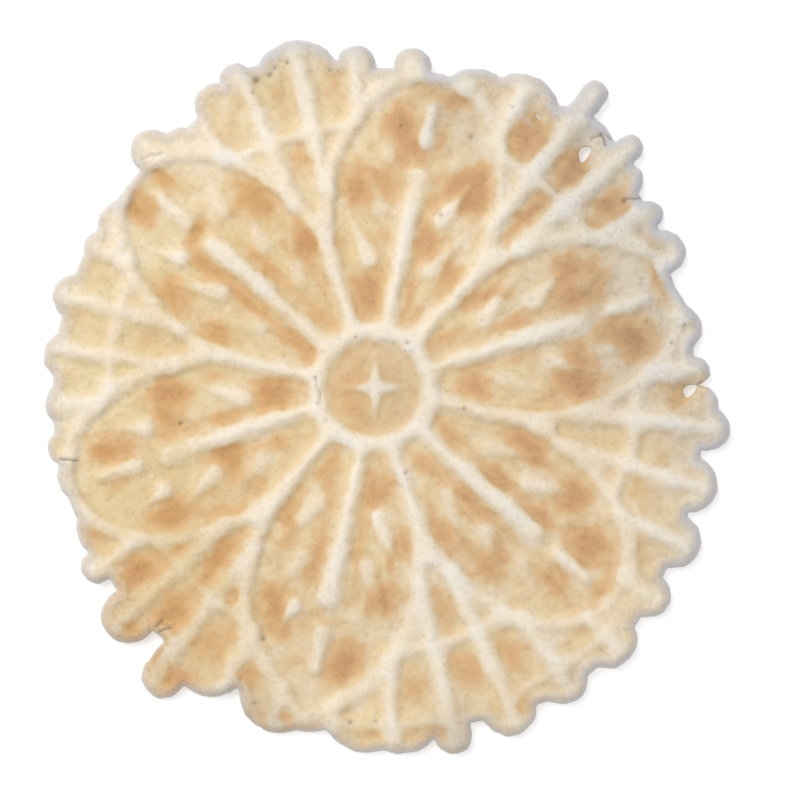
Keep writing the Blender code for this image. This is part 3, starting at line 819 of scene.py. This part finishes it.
class Wire:
    """A shader value or colour that takes part in arithmetic."""

    def __init__(self, recipe, socket):
        self.recipe = recipe
        self.socket = socket

    def maths(self, operation, *values):
        return self.recipe.node("ShaderNodeMath", {"operation": operation}, values)

    def __add__(self, other):
        return self.maths("ADD", self, other)

    def __sub__(self, other):
        return self.maths("SUBTRACT", self, other)

    def __rsub__(self, other):
        return self.maths("SUBTRACT", other, self)

    def __mul__(self, other):
        return self.maths("MULTIPLY", self, other)

    __radd__ = __add__
    __rmul__ = __mul__

    def most(self, other):
        return self.maths("MAXIMUM", self, other)

    def eased(self, low, high):
        """0 at `low`, 1 at `high`, smooth between."""
        inputs = {"Value": self, "From Min": low, "From Max": high}
        return self.recipe.node("ShaderNodeMapRange", {"interpolation_type": "SMOOTHSTEP"}, inputs)

    def mixed(self, first, second, blend="MIX"):
        """Colour that goes from `first` to `second` as this value goes from 0 to 1."""
        settings = {"data_type": "RGBA", "blend_type": blend, "clamp_factor": True}
        return self.recipe.node("ShaderNodeMix", settings, {0: self, 6: first, 7: second}, 2)

    def tinted(self, colour, tint):
        """`colour`, multiplied by `tint` as this value goes from 0 to 1."""
        return self.mixed(colour, tint, "MULTIPLY")


class Recipe:
    """A material's node tree, with a short way to add to it."""

    def __init__(self, name):
        self.material = bpy.data.materials.new(name)
        self.material.use_nodes = True
        self.tree = self.material.node_tree

    def node(self, kind, settings=None, inputs=(), output=0):
        """Add a node, set it up, feed its inputs, and give back one of its outputs."""
        made = self.tree.nodes.new(kind)
        for name, value in (settings or {}).items():
            setattr(made, name, value)
        pairs = inputs.items() if isinstance(inputs, dict) else enumerate(inputs)
        for name, value in pairs:
            self.feed(made.inputs[name], value)
        return Wire(self, made.outputs[output])

    def feed(self, socket, value):
        """Link a wire to a socket, or set the socket to a constant."""
        if isinstance(value, Wire):
            self.tree.links.new(value.socket, socket)
        else:
            socket.default_value = (*value, 1.0) if isinstance(value, Color) else value

    def surfaced(self, values):
        """The material, once its shader has what `values` gives."""
        for name, value in values.items():
            self.feed(self.tree.nodes["Principled BSDF"].inputs[name], value)
        return self.material

    def place(self):
        """Coordinates that stay with the object."""
        return self.node("ShaderNodeTexCoord", output="Object")

    def stored(self, name):
        """What the points of the mesh remember under `name`."""
        return self.node("ShaderNodeAttribute", {"attribute_name": name}, output="Fac")

    def vector(self, operation, inputs, output=0):
        return self.node("ShaderNodeVectorMath", {"operation": operation}, inputs, output)

    def fanned(self, place, stretch):
        """Coordinates in which even noise turns into streaks that fan out from the middle."""
        flat = self.vector("MULTIPLY", {0: place, 1: (1.0, 1.0, 0.0)})
        reach = self.vector("LENGTH", {0: flat}, "Value")
        spread = self.vector("SCALE", {0: self.vector("NORMALIZE", {0: flat}), "Scale": 30 * MM})
        onwards = self.node("ShaderNodeCombineXYZ", {}, {"Z": reach * (1.0 / stretch)})
        return self.vector("ADD", {0: spread, 1: onwards})

    def speckle(self, place, size, detail=2.0, roughness=0.5):
        """Cloudy noise around 0.5, its clouds about `size` metres across."""
        inputs = {"Vector": place, "Scale": 1.0 / size, "Detail": detail, "Roughness": roughness}
        return self.node("ShaderNodeTexNoise", {}, inputs)


def make_wafer_material(looks):
    """Baked batter, coloured by what its points remember."""
    recipe = Recipe("toasted_wafer")
    place = recipe.place()
    crest, pale, toast, crease, pock, rim, drift, grey, deep, yellow = map(recipe.stored, NOTES)
    broad = recipe.speckle(place, 11 * MM)
    patchy = recipe.speckle(place, 5.5 * MM, 2.0, 0.6)
    cloud = recipe.speckle(place, 2.6 * MM, 1.5)
    crumb = recipe.speckle(place, 0.9 * MM, 3.0, 0.6)
    dust = recipe.speckle(place, 0.3 * MM, 2.0, 0.6)
    reach = recipe.vector("LENGTH", {0: place}, "Value")
    streak = recipe.speckle(recipe.fanned(place, 4.0), 1.5 * MM) - 0.5
    streak = streak * reach.eased(10 * MM, 18 * MM)

    # Straw-coloured pockets, paler in drifts, and pale tops
    straw = cloud.eased(0.36, 0.64).mixed(looks.straw, looks.deep_straw)
    milky = (broad.eased(0.42, 0.64) * 0.55).most(drift * 0.85) + (patchy - 0.5) * 1.3 + streak * 1.4
    colour = (milky - deep * 0.5).mixed(straw, looks.pale_straw)
    colour = (yellow * (0.45 + streak * 2.0)).mixed(colour, looks.yellow)
    colour = (deep * 0.55).mixed(colour, looks.honey)
    # Greyer patches in the pockets: partly painted shade on the side away from the key light
    colour = (grey * (0.35 + cloud * 0.4)).mixed(colour, looks.ashen)
    top = crest.most(pale) + (patchy - 0.5) * 0.6 + (cloud - 0.5) * 0.35 - deep * 0.35
    top = top + crest * (1.0 - reach.eased(13 * MM, 32 * MM)) * 0.12
    colour = top.eased(0.0, 0.86).mixed(colour, looks.cream)
    colour = top.eased(0.62, 1.12).mixed(colour, looks.crest)
    whiteness = (pale * (0.3 + cloud * 0.6)).most((patchy - 0.5) * 3.0)
    colour = (whiteness * crest.eased(0.5, 1.0)).mixed(colour, looks.white)
    colour = (deep * 0.25).mixed(colour, looks.honey)
    # Greyer patches on the tops: partly painted shade
    colour = (grey * crest.eased(0.2, 0.9) * 0.6).mixed(colour, looks.grey_top)

    # Toasting turns golden first, then brown, with frayed edges, and keeps off the tops
    floor = 1.0 - crest.eased(0.25, 0.85) * 0.9 - pale * 0.6
    frayed = (cloud - 0.5) * 0.4 + streak * 0.5 + (crumb - 0.5) * 0.3
    brown = toast * floor.most(0.0) + frayed * toast.eased(0.02, 0.40)
    colour = brown.eased(0.0, 0.65).mixed(colour, looks.golden)
    colour = brown.eased(0.16, 0.86).mixed(colour, looks.toasted)
    colour = (brown.eased(0.58, 1.05) * 0.8).mixed(colour, looks.brown)
    warmer = recipe.node("ShaderNodeSeparateXYZ", {}, {0: place}, "X").eased(8 * MM, -28 * MM)
    colour = (brown.eased(0.3, 0.9) * warmer).tinted(colour, looks.amber)

    # Fine mottling: darker grains, and whitish specks on the palest batter
    mottle = crumb.eased(0.54, 0.26).most(dust.eased(0.56, 0.80) * 0.5)
    mottle = mottle * (0.3 + cloud * 0.7 + rim * 0.5 + grey * 0.3 + toast * 0.5)
    colour = mottle.tinted(colour, looks.grain)
    sugar = crumb.eased(0.52, 0.68) * patchy.eased(0.44, 0.60)
    sugar = sugar * (crest * 0.15 + yellow * 0.3 + rim * 0.4 + 0.15) * (1.0 - toast).most(0.0)
    colour = sugar.mixed(colour, looks.sugar)

    # The rim stays pale, with a greyish band that is partly paler batter and partly painted shade, strongest
    # in the greyer patches, then a thin grey edge and a duller band of painted shade; the greyer patches are
    # partly painted shade
    band = (rim + (cloud - 0.5) * 0.6).eased(0.28, 0.90) * (0.40 + grey * 0.50) * (1.0 - deep * 0.9)
    colour = band.mixed(colour, looks.rim)
    # A thin grey line where the edge rounds off: painted shade
    colour = (rim.eased(0.76, 0.90) * (0.70 - deep * 0.4)).mixed(colour, looks.edge_shade_line)
    # A duller band inside the edge: painted shade
    rim_shade = rim.eased(0.36, 0.66) * (1.0 - rim.eased(0.78, 0.90))
    rim_shade = rim_shade * (1.0 - deep * 1.2).most(0.0) * (0.5 + patchy)
    colour = rim_shade.tinted(colour, looks.rim_shade)
    side = rim.eased(0.92, 0.99)
    colour = (side * 0.85).mixed(colour, looks.side)
    # Blue-grey tint: painted shade in the grooves inside the petals' outlines and, in part, in the greyer
    # patches, with some random grey on the tops
    ash_and_shade = grey * (0.33 + cloud * 0.45 + toast * 0.55) * (1.0 - side)
    ash_and_shade = ash_and_shade.most(crease * (0.2 + cloud * 0.4)) + (patchy - 0.52).most(0.0) * crest * 0.8
    colour = ash_and_shade.tinted(colour, looks.ash_and_shade)

    # Pin-prick pores here and there, burst bubbles and cracks, darkened with painted shade
    spread = {"Vector": place, "Scale": 1.0 / PORE_SPACING}
    cells = recipe.node("ShaderNodeTexVoronoi", {"feature": "F1"}, spread)
    pore = cells.eased(0.14, 0.04) * recipe.speckle(place, 5 * MM, 1.0).eased(0.56, 0.66)
    dark = (pore * (0.3 + rim * 0.25)).most(pock * (0.5 + crumb * 0.6))
    colour = dark.mixed(colour, looks.pock)

    height = crumb * 0.5 + dust * 0.25 + cloud * 0.9 - pore * 0.8
    bump = {"Strength": looks.crumb_strength, "Distance": CRUMB_DEPTH, "Height": height}
    return recipe.surfaced({
        "Base Color": colour,
        "Roughness": 0.72 + (crumb - 0.5) * 0.25 - brown * 0.1,
        "Normal": recipe.node("ShaderNodeBump", {}, bump, "Normal"),
        "Specular IOR Level": 0.3,
    })


def make_floor_material(stage):
    """Matt pale floor that glows a little."""
    recipe = Recipe("pale_floor")
    cloud = recipe.speckle(recipe.place(), 60 * MM)
    return recipe.surfaced({
        "Base Color": cloud.mixed(stage.floor_colour, stage.floor_colour * 0.995),
        "Roughness": 0.9,
        "Specular IOR Level": 0.1,
        "Emission Color": (1.0, 1.0, 1.0, 1.0),
        "Emission Strength": stage.floor_glow,
    })


def length(name, description, default, low, high):
    """A setting that is a length."""
    return bpy.props.FloatProperty(
        name=name, description=description, default=default, min=low, max=high,
        subtype="DISTANCE", unit="LENGTH", precision=4)


def amount(name, description, default, **more):
    """A setting that is a plain amount."""
    return bpy.props.FloatProperty(name=name, description=description, default=default, min=0.0, **more)


def tone(name, description, default):
    """A setting that is a colour."""
    return bpy.props.FloatVectorProperty(
        name=name, description=description, default=default, min=0.0, max=1.0, size=3, subtype="COLOR")


class PizzelleShape(bpy.types.PropertyGroup):
    """Sizes of the baked relief"""

    upper_spacing: length(
        "Upper detail", "Spacing of the points on the upper face", 0.50 * MM, 0.3 * MM, 3 * MM)
    lower_spacing: length(
        "Lower detail", "Spacing of the points on the lower face", 0.66 * MM, 0.3 * MM, 3 * MM)
    crest_rounding: length(
        "Crest rounding", "How far in from its edge a rib's top starts to round", 1.15 * MM, 0.0, 2 * MM)
    rib_foot: length("Rib foot", "How far a rib's slope runs out over the sheet", 1.75 * MM, 0.2 * MM, 4 * MM)
    edge_round: length("Edge rounding", "Radius of the rounded outer edge", 1.15 * MM, 0.2 * MM, 3 * MM)
    ragged_edge: length("Ragged edge", "How far the edge wavers in and out", 0.22 * MM, 0.0, 1 * MM)
    unevenness: length("Unevenness", "Height of the batter's small swells", 1.0 * MM, 0.0, 3 * MM)
    groove_depth: length(
        "Groove depth", "Depth of the groove inside the petals' outlines", 0.10 * MM, 0.0, 0.5 * MM)
    rim_lift: length("Rim lift", "How far the rim curls up", 0.35 * MM, 0.0, 3 * MM)


class PizzelleLooks(bpy.types.PropertyGroup):
    """Colours and surface of the baked batter"""

    crest: tone("Crests", "Palest tops of the fullest ribs and drops", (0.825, 0.74, 0.61))
    white: tone("White", "Whitish heads of the spines and drops", (0.80, 0.745, 0.675))
    cream: tone("Cream", "Tops of the ribs", (0.78, 0.667, 0.498))
    pale_straw: tone("Pale straw", "Palest drifts between the ribs", (0.76, 0.662, 0.505))
    straw: tone("Straw", "Lightly baked batter between the ribs", (0.72, 0.562, 0.332))
    deep_straw: tone("Deep straw", "Darker batches of straw-coloured batter", (0.655, 0.49, 0.28))
    yellow: tone("Yellow", "Batter that baked yellow", (0.665, 0.525, 0.25))
    honey: tone("Honey", "Batter that baked deeper", (0.61, 0.458, 0.25))
    golden: tone("Golden", "First golden toasting", (0.66, 0.455, 0.228))
    toasted: tone("Toasted", "Toasted patches", (0.60, 0.354, 0.167))
    brown: tone("Brown", "Brownest freckles in the toasted patches", (0.515, 0.277, 0.13))
    amber: tone("Amber tint", "Tint of the warmer toasting on the left", (1.0, 0.985, 0.84))
    # The rim band is partly paler batter and partly painted shade
    rim: tone("Rim", "Pale band along the edge", (0.675, 0.65, 0.625))
    # Painted shade of the thin line where the edge rounds off
    edge_shade_line: tone("Rim edge", "Thin greyer line at the very edge", (0.56, 0.545, 0.555))
    # Painted shade of the duller band inside the edge
    rim_shade: tone("Worn rim", "Tint of the duller band inside the edge", (0.875, 0.865, 0.87))
    side: tone("Side", "Cream of the edge seen from the side", (0.675, 0.61, 0.515))
    # Grey tops and ashen colour the greyer patches, which are partly painted shade
    grey_top: tone("Grey tops", "Tops of the ribs in the greyer drifts", (0.71, 0.65, 0.55))
    ashen: tone("Ashen", "Even grey-beige of the greyer drifts", (0.54, 0.49, 0.42))
    # Tint of painted shade in the grooves and, in part, in the greyer patches
    ash_and_shade: tone("Ash", "Tint of the greyer drifts", (0.76, 0.82, 0.94))
    grain: tone("Grain", "Tint of the darker grains in the crumb", (0.84, 0.82, 0.80))
    sugar: tone("Sugar", "Whitish specks on the crumb", (0.80, 0.75, 0.66))
    # Painted shade inside the bubbles, cracks and pores
    pock: tone("Pocks", "Inside of burst bubbles and cracks", (0.14, 0.10, 0.07))
    crumb_strength: amount("Crumb strength", "Strength of the fine surface grain", 0.35, max=1.0)


class PizzelleStage(bpy.types.PropertyGroup):
    """Floor, lights and camera"""

    floor_colour: tone("Floor", "Pale floor", (0.80, 0.80, 0.80))
    floor_glow: amount("Floor glow", "Light that the floor gives off, as a light table does", 0.40)
    key_power: amount("Key light", "Power of the large soft light, in watts", 9.6, unit="POWER")
    fill_power: amount("Fill light", "Power of the light from the far side, in watts", 1.6, unit="POWER")
    sky_strength: amount("Sky", "Strength of the even light from all round", 0.46)
    camera_height: length("Camera height", "Height of the camera above the wafer", 0.75, 0.2, 3.0)
    framed_width: length("Framed width", "Width seen at the wafer", 144.3 * MM, 50 * MM, 1.0)


def put_in(context, name, data):
    """A new object with this mesh, light or camera, in the scene."""
    made = bpy.data.objects.new(name, data)
    context.scene.collection.objects.link(made)
    return made


def add_light(context, name, power, place, size, colour):
    """A round soft light that faces the wafer."""
    light = bpy.data.lights.new(name, "AREA")
    light.shape = "DISK"
    light.size = size
    light.energy = power
    light.color = colour
    lamp = put_in(context, name, light)
    lamp.location = place
    towards = Vector((MIDDLE.x, MIDDLE.y, 0.0)) - Vector(place)
    lamp.rotation_euler = towards.to_track_quat("-Z", "Y").to_euler()


class PIZZELLE_OT_bake_wafer(bpy.types.Operator):
    """Bake the moulded wafer and give it its toasted finish"""

    bl_idname = "pizzelle.bake_wafer"
    bl_label = "Bake wafer"
    bl_options = {"REGISTER", "UNDO"}

    def execute(self, context):
        mesh = build_wafer(context.scene.pizzelle_shape)
        mesh.materials.append(make_wafer_material(context.scene.pizzelle_looks))
        wafer = put_in(context, "baked_wafer", mesh)
        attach(wafer, "root")
        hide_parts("wafer")
        return {"FINISHED"}


class PIZZELLE_OT_set_stage(bpy.types.Operator):
    """Lay the floor and place the lights and the camera"""

    bl_idname = "pizzelle.set_stage"
    bl_label = "Set stage"
    bl_options = {"REGISTER", "UNDO"}

    def execute(self, context):
        stage = context.scene.pizzelle_stage
        mesh = bpy.data.meshes.new("floor")
        signs = ((-1, -1), (1, -1), (1, 1), (-1, 1))
        corners = [(x * FLOOR_REACH, y * FLOOR_REACH, LOW.z) for x, y in signs]
        mesh.from_pydata(corners, [], [(0, 1, 2, 3)])
        mesh.materials.append(make_floor_material(stage))
        floor = put_in(context, "floor", mesh)

        add_light(context, "key_light", stage.key_power, *KEY_LIGHT)
        add_light(context, "fill_light", stage.fill_power, *FILL_LIGHT)
        world = bpy.data.worlds.new("soft_sky")
        world.use_nodes = True
        background = world.node_tree.nodes["Background"]
        background.inputs["Color"].default_value = SKY_COLOUR
        background.inputs["Strength"].default_value = stage.sky_strength
        context.scene.world = world
        context.scene.view_settings.view_transform = "Standard"

        camera = bpy.data.cameras.new("camera")
        camera.sensor_width = SENSOR_WIDTH
        camera.lens = camera.sensor_width * stage.camera_height / stage.framed_width
        camera.clip_start = 0.01
        eye = put_in(context, "camera", camera)
        eye.location = (*CAMERA_SPOT, OVERALL + stage.camera_height)
        context.scene.camera = eye
        return {"FINISHED"}


class PIZZELLE_PT_panel(bpy.types.Panel):
    """Steps and settings of the wafer"""

    bl_label = "Pizzelle wafer"
    bl_idname = "PIZZELLE_PT_panel"
    bl_space_type = "VIEW_3D"
    bl_region_type = "UI"
    bl_category = "Pizzelle"

    def draw(self, context):
        scene = context.scene
        for operator, settings in (
            ("pizzelle.bake_wafer", (scene.pizzelle_shape, scene.pizzelle_looks)),
            ("pizzelle.set_stage", (scene.pizzelle_stage,)),
        ):
            box = self.layout.box()
            box.operator(operator)
            for group in settings:
                for name in group.__annotations__:
                    box.prop(group, name)


GROUPS = {
    "pizzelle_shape": PizzelleShape,
    "pizzelle_looks": PizzelleLooks,
    "pizzelle_stage": PizzelleStage,
}
CLASSES = (*GROUPS.values(), PIZZELLE_OT_bake_wafer, PIZZELLE_OT_set_stage, PIZZELLE_PT_panel)


def register():
    for made in CLASSES:
        bpy.utils.register_class(made)
    for name, group in GROUPS.items():
        setattr(bpy.types.Scene, name, bpy.props.PointerProperty(type=group))


def unregister():
    for name in GROUPS:
        delattr(bpy.types.Scene, name)
    for made in reversed(CLASSES):
        bpy.utils.unregister_class(made)


def main():
    register()
    bpy.ops.pizzelle.bake_wafer()
    bpy.ops.pizzelle.set_stage()


if __name__ == "__main__":
    main()
